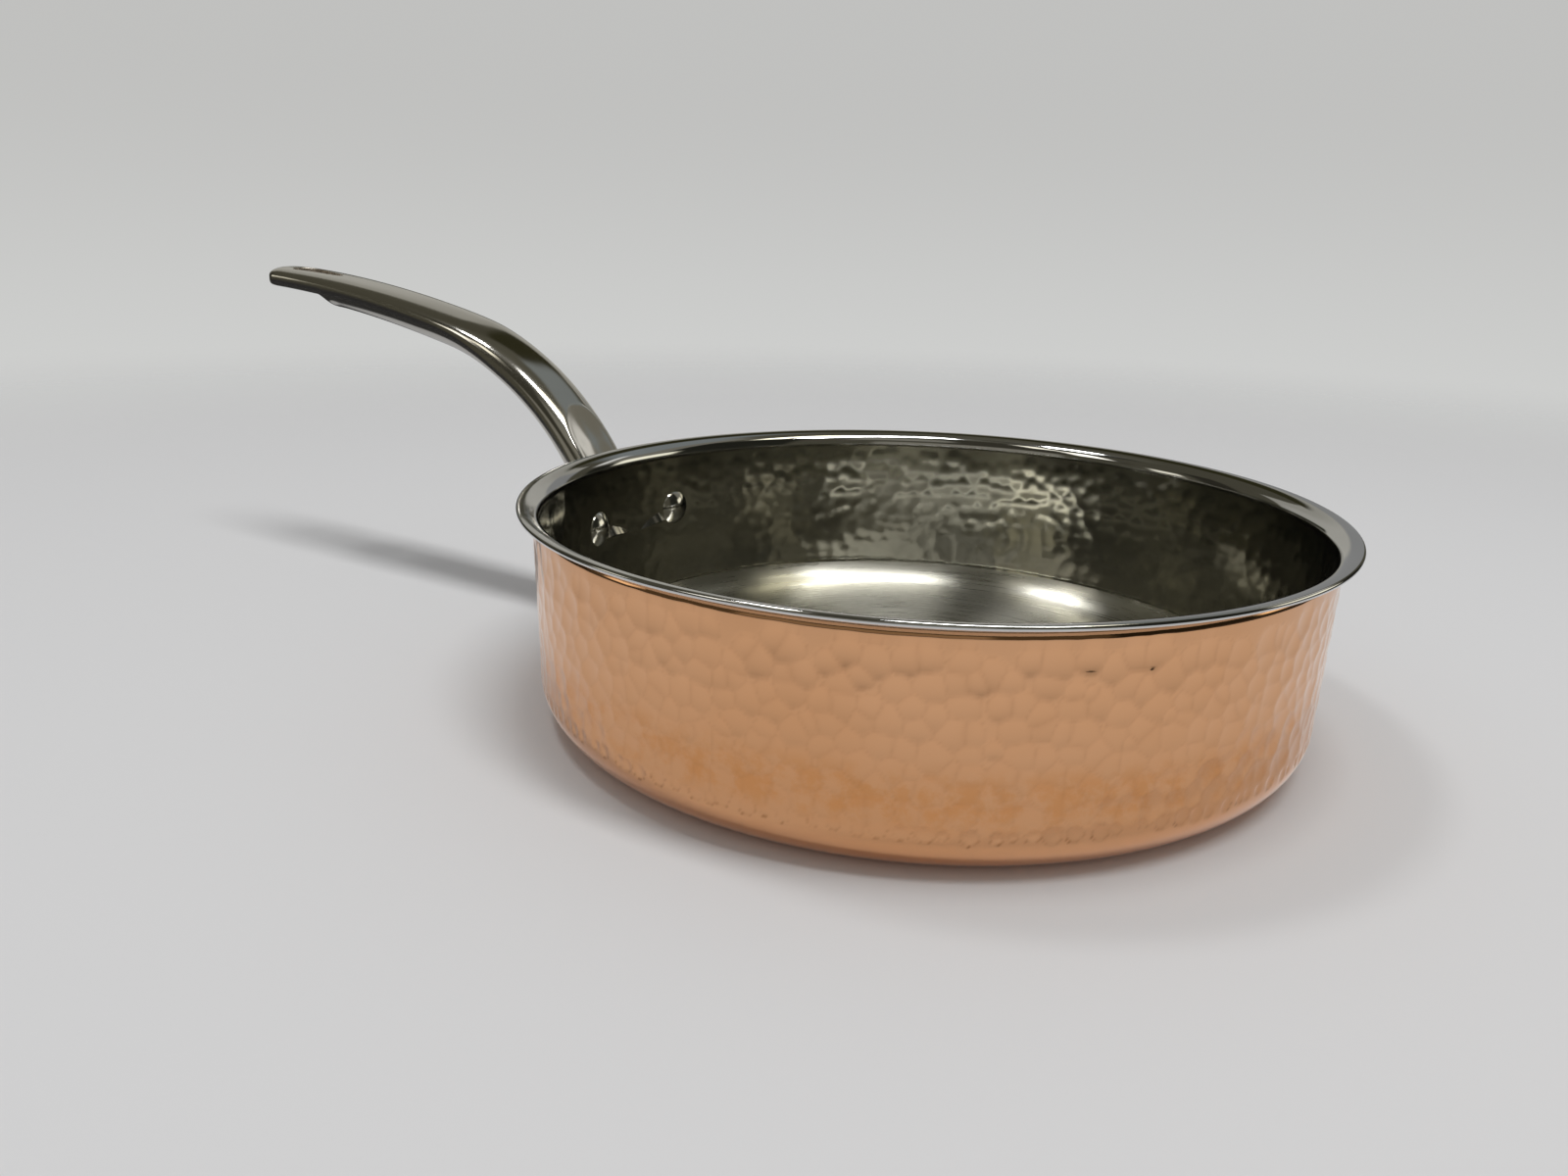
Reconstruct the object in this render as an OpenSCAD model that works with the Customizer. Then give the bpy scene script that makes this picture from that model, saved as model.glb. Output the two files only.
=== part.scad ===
// Saute pan with a hammered copper outside, a steel lining with a flared lip, and a riveted cast handle.
// Millimetres. The origin is the centre of the base on the table, +Z is up, and the handle points along -X.

/* [Pan] */
// Inside diameter of the wall, measured at the top of the corner
inner_d = 238.4; // [180:0.2:320]
// Height from the table to the top of the lip
pan_h = 66.8; // [55:0.1:100]
// How much wider the wall's radius is at the lip than at the corner
wall_flare = 0.8; // [0:0.1:5]
// Outside radius of the corner between base and wall
corner_r = 13.7; // [8:0.1:22]

/* [Clad sheet] */
// Thickness of the steel lining
steel_t = 0.6; // [0.4:0.05:1.2]
// Thickness of the aluminium core
core_t = 1.3; // [0.8:0.1:4]
// Thickness of the copper shell
copper_t = 0.6; // [0.4:0.05:2]

/* [Lip] */
// Thickness of the lip, which has a fully rounded edge
lip_t = 1.6; // [1.2:0.1:2.4]
// How far the lip's edge stands out from the inside of the wall's top
lip_reach = 7; // [5:0.1:10]
// Height of the flare, from where the wall starts to turn out to the top of the lip
lip_rise = 5; // [4:0.1:6.5]
// Height of the bare steel band, from the copper's top edge to the top of the lip
lip_band = 3; // [2.8:0.1:6]
// How far the steel runs down behind the copper's top edge, to seal the core
core_seal = 1.6; // [1:0.1:3]

/* [Rivets] */
// Distance between the two rivets, straight across
rivet_gap = 46; // [42:0.5:52]
// Height of the rivets above the table
rivet_z = 41.2; // [34:0.1:46]
// Diameter of a rivet's shank
shank_d = 6; // [4:0.1:7]
// Diameter of the domed head inside the pan
head_d = 12.8; // [9:0.1:15]
// Height of the domed head inside the pan
head_h = 2.6; // [1.5:0.1:5]
// Diameter of the peened head on the handle's flange
peen_d = 9.6; // [8:0.1:12]
// Height of the peened head
peen_h = 1.8; // [0.8:0.1:3]

/* [Handle flange] */
// Thickness of the flange that lies on the wall
flange_t = 3.4; // [2:0.1:6]
// Length of the flange round the wall
flange_l = 66; // [62:0.5:80]
// Height of the flange at its middle
flange_h = 29; // [24:0.5:33]

/* [Handle line] */
// Distance from the pan's axis to the tip of the handle
handle_reach = 317; // [290:1:420]
// Height at which the handle's line leaves the wall
root_z = 43.8; // [40:0.1:46]
// Slope of the handle where it leaves the wall
root_angle = 54.5; // [45:0.5:60]
// Length of the straight stretch at the root
root_len = 25; // [10:1:40]
// Radius of the bend between root and grip
bend_r = 112; // [70:1:140]
// Slope at the start of the grip
grip_angle = 13.2; // [8:0.2:18]
// Slope at the tip
tip_angle = 3; // [0:0.2:7]

/* [Handle section] */
// Width of the handle where it meets the flange
root_w = 31; // [26:0.5:33]
// Width at the narrowest place, above the lip
waist_w = 25.8; // [20:0.2:32]
// Width of the grip
grip_w = 27.6; // [20:0.2:34]
// Width near the tip
tip_w = 28.4; // [20:0.2:36]
// Crown of the top above the section's widest line
crown_h = 2; // [1:0.1:4]
// Depth of the belly below the section's widest line
belly_h = 9.8; // [7:0.1:14]
// Thickness of the flat tip
tip_t = 8; // [5:0.1:10]
// Length of the flat tip, from the step in the belly to the end
tip_l = 40.5; // [36:0.5:60]
// Length of the slope at that step
step_l = 10; // [6:0.5:20]
// Length over which the tip's end is rounded in plan
tip_round = 9; // [6:0.5:16]

/* [Scoop] */
// Length of the hollow in the top of the handle, from the flange
scoop_l = 46; // [30:1:70]
// Width of that hollow at the flange
scoop_w = 21; // [10:0.5:22]
// Depth of that hollow
scoop_d = 2.6; // [1:0.1:4]

/* [Hang hole] */
// Width of the hole's round end
hole_w = 12; // [8:0.5:14]
// Width of the hole's narrow end
hole_tail_w = 4; // [2:0.5:6]
// Length of the hole
hole_l = 29; // [20:0.5:32]
// Metal left between the hole and the tip
hole_edge = 7; // [5:0.5:12]

/* [Hidden] */
$fn = 96;
// Facets of the large round cuts, whose sagitta has to stay well under the clearance
fine = 480;

// Clearance between a rivet and its holes, and between a seated face and the curved wall
fit = 0.05;
// Reach of a cutting tool past the face that it cuts
past = 1;

copper_colour = [0.86, 0.55, 0.38];
core_colour = [0.75, 0.76, 0.77];
steel_colour = [0.66, 0.65, 0.63];

// The clad sheet, from the inside out
lining_out = steel_t;
core_out = steel_t + core_t;
sheet_t = steel_t + core_t + copper_t;
band_z = pan_h - lip_band;
core_z = band_z - core_seal;
flare_z = pan_h - lip_rise;
flare_w = lip_reach - lip_t / 2;
lip_edge_r = inner_d / 2 + wall_flare + flare_w;
arc_steps = 14;
lip_steps = 20;
dome_steps = 10;

// Radius of the outer side of a layer whose depth from the inside is d, at height z
function wall_r(z, d) = inner_d / 2 + d + wall_flare * (z - corner_r) / (band_z - corner_r);

// Points of an arc about a centre, from angle a to angle b. Its half axes are w across and h up.
function oval(centre, w, h, a, b, steps) =
    [for (i = [0:steps]) let (t = a + (b - a) * i / steps) centre + [w * cos(t), h * sin(t)]];
function arc(centre, r, a, b, steps) = oval(centre, r, r, a, b, steps);

// The outline of the sheet's face at depth d, from the axis along the base, round the corner and up to height z
function face_line(d, z) =
    let (r = corner_r - sheet_t + d, centre = [inner_d / 2 + d - r, corner_r])
    concat([[0, corner_r - r]], arc(centre, r, -90, 0, arc_steps), [[wall_r(z, d), z]]);

function reversed(points) = [for (i = [len(points) - 1:-1:0]) points[i]];

// A layer of the sheet between depths a and b, up to height z
module layer(a, b, z)
    rotate_extrude() polygon(concat(face_line(b, z), reversed(face_line(a, z))));

// Everything inside the wall's face at depth d, grown by a gap
module inside_wall(d, gap)
    rotate_extrude($fn = fine) polygon([
        [0, 0], [wall_r(0, d) + gap, 0], [wall_r(pan_h, d) + gap, pan_h], [0, pan_h]]);

// The flange's outer face is a cylinder round the pan's axis
flange_r = wall_r(rivet_z, sheet_t) + flange_t;
rivet_angle = asin(rivet_gap / 2 / flange_r);

// Places its children on a rivet's axis, with +Z pointing into the pan and z = 0 at the pan's axis
module at_rivet(side)
    translate([0, 0, rivet_z]) rotate([0, 0, side * rivet_angle]) rotate([0, 90, 0]) children();

module rivet_holes(r, from, to)
    for (side = [-1, 1]) at_rivet(side) translate([0, 0, -to]) cylinder(r = r, h = to - from, $fn = 48);

module pierced(depth_in, depth_out) difference() {
    children();
    rivet_holes(shank_d / 2 + fit, depth_in, depth_out);
}

module copper_shell() color(copper_colour)
    pierced(inner_d / 2 - past, flange_r) layer(core_out, sheet_t, band_z);

module aluminium_core() color(core_colour)
    pierced(inner_d / 2 - past, flange_r) layer(lining_out, core_out, core_z);

// The lining carries the lip, which flares over the core and the copper with a fillet underneath
module steel_lining() color(steel_colour)
    pierced(inner_d / 2 - 2 * past, flange_r) rotate_extrude() {
        root = wall_r(band_z, sheet_t);
        fillet = min(lip_band - lip_t, lip_edge_r - root);
        polygon(concat(
            face_line(0, corner_r),
            oval([lip_edge_r, flare_z], flare_w, lip_rise, 180, 90, lip_steps),
            arc([lip_edge_r, pan_h - lip_t / 2], lip_t / 2, 90, -90, lip_steps),
            arc([root + fillet, pan_h - lip_t - fillet], fillet, 90, 180, lip_steps),
            [[root, band_z], [wall_r(band_z, core_out), band_z], [wall_r(core_z, core_out), core_z]],
            reversed(face_line(lining_out, core_z))));
    }

// The handle's line: a straight root, a bend and a long shallow crown, the last two as arcs
bend_len = bend_r * (root_angle - grip_angle) * PI / 180;
root_x = wall_r(root_z, sheet_t);
bend_x = root_x + root_len * cos(root_angle);
bend_z = root_z + root_len * sin(root_angle);
grip_x = bend_x + bend_r * (sin(root_angle) - sin(grip_angle));
grip_z = bend_z + bend_r * (cos(grip_angle) - cos(root_angle));
grip_len = (handle_reach - grip_x) / cos((grip_angle + tip_angle) / 2);
grip_r = grip_len / ((grip_angle - tip_angle) * PI / 180);
line_len = root_len + bend_len + grip_len;

function slope_at(s) =
    s < root_len ? root_angle :
    s < root_len + bend_len ? root_angle - (s - root_len) / bend_r * 180 / PI :
    grip_angle - (s - root_len - bend_len) / grip_r * 180 / PI;

// Distance from the pan's axis and height of the line at a length s from the wall
function line_at(s) =
    let (a = slope_at(s))
    s < root_len ? [root_x, root_z] + s * [cos(a), sin(a)] :
    s < root_len + bend_len ?
        [bend_x, bend_z] + bend_r * [sin(root_angle) - sin(a), cos(a) - cos(root_angle)] :
    [grip_x, grip_z] + grip_r * [sin(grip_angle) - sin(a), cos(a) - cos(grip_angle)];

// Goes smoothly from 0 to 1 as t goes from a to b
function ease(t, a, b) = let (k = min(max((t - a) / (b - a), 0), 1)) k * k * (3 - 2 * k);

// Where the widths change along the line
flare_len = 14;
waist_at = root_len + 10;
grip_at = root_len + bend_len + 10;
tip_at = line_len - tip_l;
tip_blend = 20;

// The tip's end in plan is a quarter of a rounded square with this exponent
plan_power = 2.6;
function plan_round(s) =
    let (k = min((line_len - s) / tip_round, 1)) pow(1 - pow(1 - k, plan_power), 1 / plan_power);

function half_width(s) = plan_round(s) / 2 * (
    root_w + (waist_w - root_w) * ease(s, 0, flare_len)
    + (grip_w - waist_w) * ease(s, waist_at, grip_at)
    + (tip_w - grip_w) * ease(s, tip_at - tip_blend, tip_at + tip_blend));

// The end's edges are rounded over this length, down to this share of the thickness
end_round = 1.6;
end_share = 0.55;
function end_thin(s) =
    let (k = min((line_len - s) / end_round, 1)) end_share + (1 - end_share) * sqrt(1 - pow(1 - k, 2));

function belly(s) = end_thin(s)
    * (belly_h + (tip_t - crown_h - belly_h) * ease(s, tip_at - step_l / 2, tip_at + step_l / 2));

// Exponents of the section's rounding: the top is flat, the belly round and the tip's underside square
top_power = 3.2;
belly_power = 2.4;
tip_power = 4.5;
function under_power(s) = belly_power + (tip_power - belly_power) * ease(s, tip_at - step_l, tip_at + step_l);

// Depth of the scoop at a length s and a side distance y: a spoon's bowl with a round end, a flat floor
// and soft rims, which is at its full depth after its first third
scoop_end_power = 0.35;
function scoop(s, y) =
    let (run = max(1 - s / scoop_l, 0), w = scoop_w / 2 * pow(run, scoop_end_power),
        k = w > 0 ? min(abs(y) / w, 1) : 1)
    scoop_d * (1 - pow(1 - min(run * 3, 1), 2)) * pow(1 - pow(k, 3), 2);

// One point of the section: a rounded form that is crowned above its widest line and deep below it
function section_point(s, t) =
    let (c = cos(t), d = sin(t), p = d > 0 ? top_power : under_power(s),
        y = half_width(s) * sign(c) * pow(abs(c), 2 / p),
        n = d > 0 ? end_thin(s) * crown_h * pow(d, 2 / p) - scoop(s, y) : -belly(s) * pow(abs(d), 2 / p),
        a = slope_at(s), q = line_at(s))
    [-(q[0] - n * sin(a)), y, q[1] + n * cos(a)];

// Angles round the section, more of them above than below
top_sides = 20;
under_sides = 14;
section_angles = concat(
    [for (i = [0:top_sides - 1]) 180 * i / top_sides],
    [for (i = [0:under_sides - 1]) 180 + 180 * i / under_sides]);
// Lengths of the rings: even along the line, closer together at the step and at the rounded end,
// where the last ring stops a little short of the end
line_start = -2.2 * flange_t;
grip_rings = 34;
step_rings = 8;
tip_rings = 4;
end_rings = 10;
end_gap = 0.12;
ring_lengths = concat(
    [for (i = [0:grip_rings - 1]) line_start + (tip_at - step_l - line_start) * i / grip_rings],
    [for (i = [0:step_rings - 1]) tip_at - step_l + 2 * step_l * i / step_rings],
    [for (i = [0:tip_rings - 1]) tip_at + step_l + (line_len - tip_round - tip_at - step_l) * i / tip_rings],
    [for (i = [0:end_rings - 1]) line_len - tip_round * pow(1 - i / end_rings, 2) - end_gap]);

module loft(rings) {
    n = len(rings[0]);
    last = len(rings) - 1;
    side = [for (i = [0:last - 1]) for (j = [0:n - 1])
        let (k = (j + 1) % n)
        each [[i * n + j, i * n + k, (i + 1) * n + j], [i * n + k, (i + 1) * n + k, (i + 1) * n + j]]];
    polyhedron(
        points = [for (ring = rings) each ring],
        faces = concat([[for (j = [n - 1:-1:0]) j]], side, [[for (j = [0:n - 1]) last * n + j]]),
        convexity = 6);
}

// The flange's outline, seen along the handle: a rounded lozenge
module flange_outline() {
    power = 2.6;
    steps = 48;
    polygon([for (i = [0:steps - 1]) let (t = 360 * i / steps, c = cos(t), d = sin(t))
        [sign(c) * pow(abs(c), 2 / power) * flange_l / 2, sign(d) * pow(abs(d), 2 / power) * flange_h / 2]]);
}

module flange() intersection() {
    cylinder(r = flange_r, h = pan_h, $fn = fine);
    translate([0, 0, rivet_z]) rotate([90, 0, -90]) linear_extrude(flange_r + past) flange_outline();
}

// A teardrop with its round end near the tip and its tail towards the pan
module hang_hole() {
    hole_at = line_len - hole_edge - hole_w / 2;
    a = slope_at(hole_at);
    q = line_at(hole_at);
    big = hole_w / 2;
    small = hole_tail_w / 2;
    span = hole_l - big - small;
    lean = acos((big - small) / span);
    translate([-q[0], 0, q[1]]) rotate([0, a, 0]) translate([0, 0, -belly_h - past])
        linear_extrude(belly_h + crown_h + 2 * past) union() {
            circle(r = big, $fn = 48);
            translate([span, 0]) circle(r = small, $fn = 48);
            polygon([
                big * [cos(lean), sin(lean)], [span, 0] + small * [cos(lean), sin(lean)],
                [span, 0] + small * [cos(lean), -sin(lean)], big * [cos(lean), -sin(lean)]]);
        }
}

module handle() color(steel_colour) difference() {
    union() {
        loft([for (s = ring_lengths) [for (t = section_angles) section_point(s, t)]]);
        flange();
    }
    inside_wall(sheet_t, fit);
    rivet_holes(shank_d / 2 + fit, inner_d / 2, flange_r + past);
    hang_hole();
}

// A domed head of radius r and height h on z = 0, with a skirt below it
module dome(r, h, skirt) {
    ball = (r * r + h * h) / (2 * h);
    rim = asin((ball - h) / ball);
    rotate_extrude() polygon(concat(
        [[0, -skirt], [r, -skirt]],
        [for (i = [0:dome_steps - 1])
            let (t = rim + (90 - rim) * i / dome_steps) [0, h - ball] + ball * [cos(t), sin(t)]],
        [[0, h]]));
}

// A rivet: domed head inside the pan, shank through wall and flange, peened head outside.
// The shank runs half way into both heads.
module rivet(side) color(steel_colour) union() {
    peen_at = -flange_r - fit;
    shank_at = peen_at - peen_h / 2;
    shank_l = head_h / 2 - wall_r(rivet_z, 0) - shank_at;
    at_rivet(side) translate([0, 0, shank_at]) cylinder(r = shank_d / 2, h = shank_l, $fn = 48);
    intersection() {
        at_rivet(side) translate([0, 0, -wall_r(rivet_z, 0)]) dome(head_d / 2, head_h, past);
        inside_wall(0, -fit);
    }
    at_rivet(side) translate([0, 0, peen_at]) mirror([0, 0, 1]) dome(peen_d / 2, peen_h, 0);
}

module rivet_left() rivet(-1);
module rivet_right() rivet(1);

copper_shell();
aluminium_core();
steel_lining();
handle();
rivet_left();
rivet_right();
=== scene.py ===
import math

import bpy
import numpy as np
from mathutils import Matrix, Vector


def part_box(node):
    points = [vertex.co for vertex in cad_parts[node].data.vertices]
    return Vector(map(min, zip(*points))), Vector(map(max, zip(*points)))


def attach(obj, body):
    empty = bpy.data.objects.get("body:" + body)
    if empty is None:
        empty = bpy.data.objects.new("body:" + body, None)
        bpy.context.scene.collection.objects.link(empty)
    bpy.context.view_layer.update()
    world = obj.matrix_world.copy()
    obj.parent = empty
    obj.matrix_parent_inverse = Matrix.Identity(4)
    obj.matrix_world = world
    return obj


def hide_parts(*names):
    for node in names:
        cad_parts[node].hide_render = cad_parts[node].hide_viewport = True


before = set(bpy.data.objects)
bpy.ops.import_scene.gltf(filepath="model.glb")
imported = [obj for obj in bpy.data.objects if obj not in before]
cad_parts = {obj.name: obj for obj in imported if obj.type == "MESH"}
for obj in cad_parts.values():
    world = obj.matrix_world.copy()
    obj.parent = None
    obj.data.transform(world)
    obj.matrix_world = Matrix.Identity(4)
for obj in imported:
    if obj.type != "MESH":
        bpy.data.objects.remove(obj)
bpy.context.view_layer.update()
mm = 0.001

# What the pieces share is read from the frame: the pan's round sizes and heights, in metres
liningLow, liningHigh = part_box("steel_lining")
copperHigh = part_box("copper_shell")[1]
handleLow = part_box("handle")[0]
pan = {
    "lipRadius": liningHigh.x,
    "height": liningHigh.z,
    "wallOut": copperHigh.x,  # outside of the wall, at its top
    "bandBottom": copperHigh.z,  # where the copper ends under the lip
    "flare": 0.8 * mm,  # the wall's radius grows by this from corner to lip
    "skin": 0.6 * mm,  # the lining and the copper, each
    "corner": 13.7 * mm,  # outside radius between base and wall
    "lip": 1.6 * mm,  # thickness
    "lipRise": 5 * mm,  # from where the wall starts to turn out
    "seal": 1.6 * mm,  # the steel runs this far down behind the copper's top edge
}
pan["sheet"] = liningLow.z + pan["skin"]
pan["wallIn"] = pan["wallOut"] - pan["sheet"]
print("frame loaded: lip radius %.1f mm, height %.1f mm" % (pan["lipRadius"] / mm, pan["height"] / mm))


# Mesh makers

# A grid of points, rows along a profile and columns around it, becomes a closed skin of quads.
# A row that is a single point is a pole, closed by triangles.
def skinFromRows(name, rows, materials, rowSlot=None):
    columns = max(len(row) for row in rows)
    starts = np.cumsum([0] + [len(row) for row in rows])
    around = np.arange(columns)
    nextOne = (around + 1) % columns
    quads, tris, quadSlots, triSlots = [], [], [], []
    for k in range(len(rows) - 1):
        a, b = starts[k], starts[k + 1]
        slot = rowSlot[k] if rowSlot is not None else 0
        if len(rows[k]) == 1:
            tris.append(np.stack([np.full(columns, a), b + nextOne, b + around], 1))
            triSlots += [slot] * columns
        elif len(rows[k + 1]) == 1:
            tris.append(np.stack([a + around, a + nextOne, np.full(columns, b)], 1))
            triSlots += [slot] * columns
        else:
            quads.append(np.stack([a + around, a + nextOne, b + nextOne, b + around], 1))
            quadSlots += [slot] * columns
    quads = np.concatenate(quads)
    tris = np.concatenate(tris) if tris else np.zeros((0, 3), int)
    mesh = bpy.data.meshes.new(name)
    points = np.concatenate(rows).astype(np.float32)
    corners = np.concatenate([quads.ravel(), tris.ravel()]).astype(np.int32)
    sizes = np.concatenate([np.full(len(quads), 4), np.full(len(tris), 3)])
    mesh.vertices.add(len(points))
    mesh.vertices.foreach_set("co", points.ravel())
    mesh.loops.add(len(corners))
    mesh.loops.foreach_set("vertex_index", corners)
    mesh.polygons.add(len(sizes))
    mesh.polygons.foreach_set("loop_start", np.concatenate([[0], np.cumsum(sizes)[:-1]]).astype(np.int32))
    for material in materials:
        mesh.materials.append(material)
    mesh.polygons.foreach_set("material_index", np.array(quadSlots + triSlots, np.int32))
    mesh.update(calc_edges=True)
    mesh.validate()
    mesh.shade_smooth()
    piece = bpy.data.objects.new(name, mesh)
    bpy.context.scene.collection.objects.link(piece)
    return piece


# An arc about a centre in the radius-height plane: centre + (w cos a, h sin a), with h = w unless it is given
def arc(centre, w, a, b, steps, h=None):
    t = np.radians(np.linspace(a, b, steps + 1))
    return np.stack([centre[0] + w * np.cos(t), centre[1] + (w if h is None else h) * np.sin(t)], 1)


def line(a, b, steps):
    t = np.linspace(0, 1, steps + 1)[:, None]
    return np.array(a) * (1 - t) + np.array(b) * t


# A profile of (radius, height) points turned round the axis. A point on the axis is a pole.
def turned(profile, columns, push=None):
    theta = np.arange(columns) * 2 * math.pi / columns
    rows = []
    for k, (r, z) in enumerate(profile):
        if r < 1e-7:
            rows.append(np.array([[0.0, 0.0, z]]))
            continue
        radius = r + (push[k] if push is not None else 0.0)
        rows.append(np.stack([radius * np.cos(theta), radius * np.sin(theta), np.full(columns, z)], 1))
    return rows


# Rounded steps from 0 to 1 as x goes from a to b
def ease(x, a, b):
    k = np.clip((x - a) / (b - a), 0, 1)
    return k * k * (3 - 2 * k)


# What every hammered wall shares
hammer = {
    "rowSpacing": 0.8,  # between rows of dents, in pitches
    "firstRowJitter": 0.35,  # the lowest row strays up and down by this share of the others
    "ballRange": (0.8, 1.25),  # a blow's ball radius, as a share of the usual one
    "sharpBall": 0.5,  # and of a sharp blow's
    "rimPower": 3,  # the rims fade with this power of the blows' force
}


# The force of a blow from the direction theta, in radians: 1 at busy and 1 - calm opposite it
def blowForce(theta, dents):
    return 1 - dents["calm"] * (0.5 - 0.5 * np.cos(theta - math.radians(dents["busy"])))


# Hammer dents on a jittered lattice of the unrolled wall, wrapped round the pan.
# Each dent cuts d - q^2 / (2 r) deep at a distance q from its centre, and the deepest near one counts.
# The rim is 1 where two dents cut equally deep and falls to 0 inside them, and a few blows are sharper.
# the copper paints shade along this rim
def hammered(theta, z, radius, dents):
    rng = np.random.default_rng(dents["seed"])
    across = int(round(2 * math.pi * radius / dents["pitch"]))
    pitch = 2 * math.pi * radius / across
    rowPitch = dents["pitch"] * hammer["rowSpacing"]
    count = int(round((dents["top"] - dents["bottom"]) / rowPitch)) + 1
    shape = (count, across)
    jitterU = rng.uniform(-1, 1, shape) * dents["jitter"]
    jitterV = rng.uniform(-1, 1, shape) * dents["jitter"]
    jitterV[0] *= hammer["firstRowJitter"]
    around = (np.arange(across) * 2 * math.pi / across)[None, :]
    force = blowForce(around, dents)
    deep = dents["depth"] * rng.uniform(1 - dents["spread"], 1, shape) * force
    ball = dents["ball"] * rng.uniform(*hammer["ballRange"], shape) / force
    ball = np.where(rng.uniform(0, 1, shape) < dents["sharpShare"], hammer["sharpBall"] * ball, ball)
    u = (theta * radius)[None, :] / pitch
    v = (z[:, None] - dents["bottom"]) / rowPitch
    best = np.zeros((len(z), len(theta)))
    second = np.zeros_like(best)
    for dv in range(-2, 3):
        for du in range(-2, 4):
            j = np.floor(v + 0.5).astype(int) + dv
            inside = (j >= 0) & (j < count)
            jj = np.clip(j, 0, count - 1)
            shift = 0.5 * (jj % 2)
            i = np.floor(u - 0.5).astype(int) + du
            ii = i % across
            jb, ib = np.broadcast_arrays(jj, ii)
            centreU = i + shift + jitterU[jb, ib]
            centreV = jj + jitterV[jb, ib]
            q2 = ((u - centreU) * pitch) ** 2 + ((v - centreV) * rowPitch) ** 2
            depth = np.where(inside, deep[jb, ib] - q2 / (2 * ball[jb, ib]), 0)
            second = np.maximum(second, np.minimum(best, depth))
            best = np.maximum(best, depth)
    clear = blowForce(theta, dents)[None, :] ** hammer["rimPower"]
    rim = np.exp(-(best - second) / dents["rimWidth"]) * (best > 0) * clear
    return best, rim


# Gives a piece's points a value that its material can read by name
def paint(piece, name, values):
    layer = piece.data.attributes.new(name, "FLOAT", "POINT")
    layer.data.foreach_set("value", np.asarray(values, np.float32).ravel())


# Materials

def newMaterial(name, color, metallic, roughness):
    material = bpy.data.materials.new(name)
    material.use_nodes = True
    tree = material.node_tree
    shader = tree.nodes["Principled BSDF"]
    shader.inputs["Base Color"].default_value = (*color, 1)
    shader.inputs["Metallic"].default_value = metallic
    shader.inputs["Roughness"].default_value = roughness
    return material, tree, shader


def node(tree, kind, **settings):
    made = tree.nodes.new(kind)
    for key, value in settings.items():
        setattr(made, key, value)
    return made


def objectPoint(tree):
    return node(tree, "ShaderNodeTexCoord").outputs["Object"]


def math2(tree, operation, a, b=0.0, clamp=False):
    made = node(tree, "ShaderNodeMath", operation=operation, use_clamp=clamp)
    for socket, value in zip(made.inputs, (a, b)):
        if hasattr(value, "is_output"):
            tree.links.new(value, socket)
        else:
            socket.default_value = value
    return made.outputs[0]


def noise(tree, point, scale, detail=2.0, roughness=0.5):
    made = node(tree, "ShaderNodeTexNoise")
    made.inputs["Scale"].default_value = scale
    made.inputs["Detail"].default_value = detail
    made.inputs["Roughness"].default_value = roughness
    tree.links.new(point, made.inputs["Vector"])
    return made.outputs["Fac"]


def stepBetween(tree, value, low, high, outLow=0.0, outHigh=1.0):
    made = node(tree, "ShaderNodeMapRange", interpolation_type="SMOOTHSTEP")
    made.inputs["From Min"].default_value = low
    made.inputs["From Max"].default_value = high
    made.inputs["To Min"].default_value = outLow
    made.inputs["To Max"].default_value = outHigh
    tree.links.new(value, made.inputs["Value"])
    return made.outputs["Result"]


def mixColor(tree, factor, a, b):
    made = node(tree, "ShaderNodeMix", data_type="RGBA")
    for key, value in (("Factor", factor), ("A", a), ("B", b)):
        socket = [s for s in made.inputs if s.name == key and s.enabled][0]
        if hasattr(value, "is_output"):
            tree.links.new(value, socket)
        else:
            socket.default_value = (*value, 1)
    return [s for s in made.outputs if s.enabled][0]


# Polishing marks, shared by every polished metal: wide waves change the roughness, a fine grain the height
polishing = {
    "waveScale": 24.0,
    "leastRoughness": 0.02,
    "grain": 1200.0,  # on steel
    "strength": 0.05,
    "distance": 0.05 * mm,
}


def polishGroup():
    group = bpy.data.node_groups.new("polish", "ShaderNodeTree")
    for name, kind in (
        ("Point", "NodeSocketVector"),
        ("Roughness", "NodeSocketFloat"),
        ("Variation", "NodeSocketFloat"),
        ("Grain", "NodeSocketFloat"),
    ):
        group.interface.new_socket(name, in_out="INPUT", socket_type=kind)
    group.interface.new_socket("Roughness", in_out="OUTPUT", socket_type="NodeSocketFloat")
    group.interface.new_socket("Height", in_out="OUTPUT", socket_type="NodeSocketFloat")
    inside = node(group, "NodeGroupInput")
    out = node(group, "NodeGroupOutput")
    wide = noise(group, inside.outputs["Point"], polishing["waveScale"], 3.0)
    fine = node(group, "ShaderNodeTexNoise")
    fine.inputs["Detail"].default_value = 2.0
    group.links.new(inside.outputs["Point"], fine.inputs["Vector"])
    group.links.new(inside.outputs["Grain"], fine.inputs["Scale"])
    swing = math2(group, "SUBTRACT", wide, 0.5)
    swing = math2(group, "MULTIPLY", swing, 2.0)
    change = math2(group, "MULTIPLY", swing, inside.outputs["Variation"])
    total = math2(group, "ADD", inside.outputs["Roughness"], change)
    total = math2(group, "MAXIMUM", total, polishing["leastRoughness"])
    group.links.new(total, out.inputs["Roughness"])
    group.links.new(fine.outputs["Fac"], out.inputs["Height"])
    return group


polish = polishGroup()


# Bump: the shader's normal follows a height between 0 and 1
def addBump(tree, shader, height, strength, distance):
    bump = node(tree, "ShaderNodeBump")
    bump.inputs["Strength"].default_value = strength
    bump.inputs["Distance"].default_value = distance
    tree.links.new(height, bump.inputs["Height"])
    tree.links.new(bump.outputs["Normal"], shader.inputs["Normal"])


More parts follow.
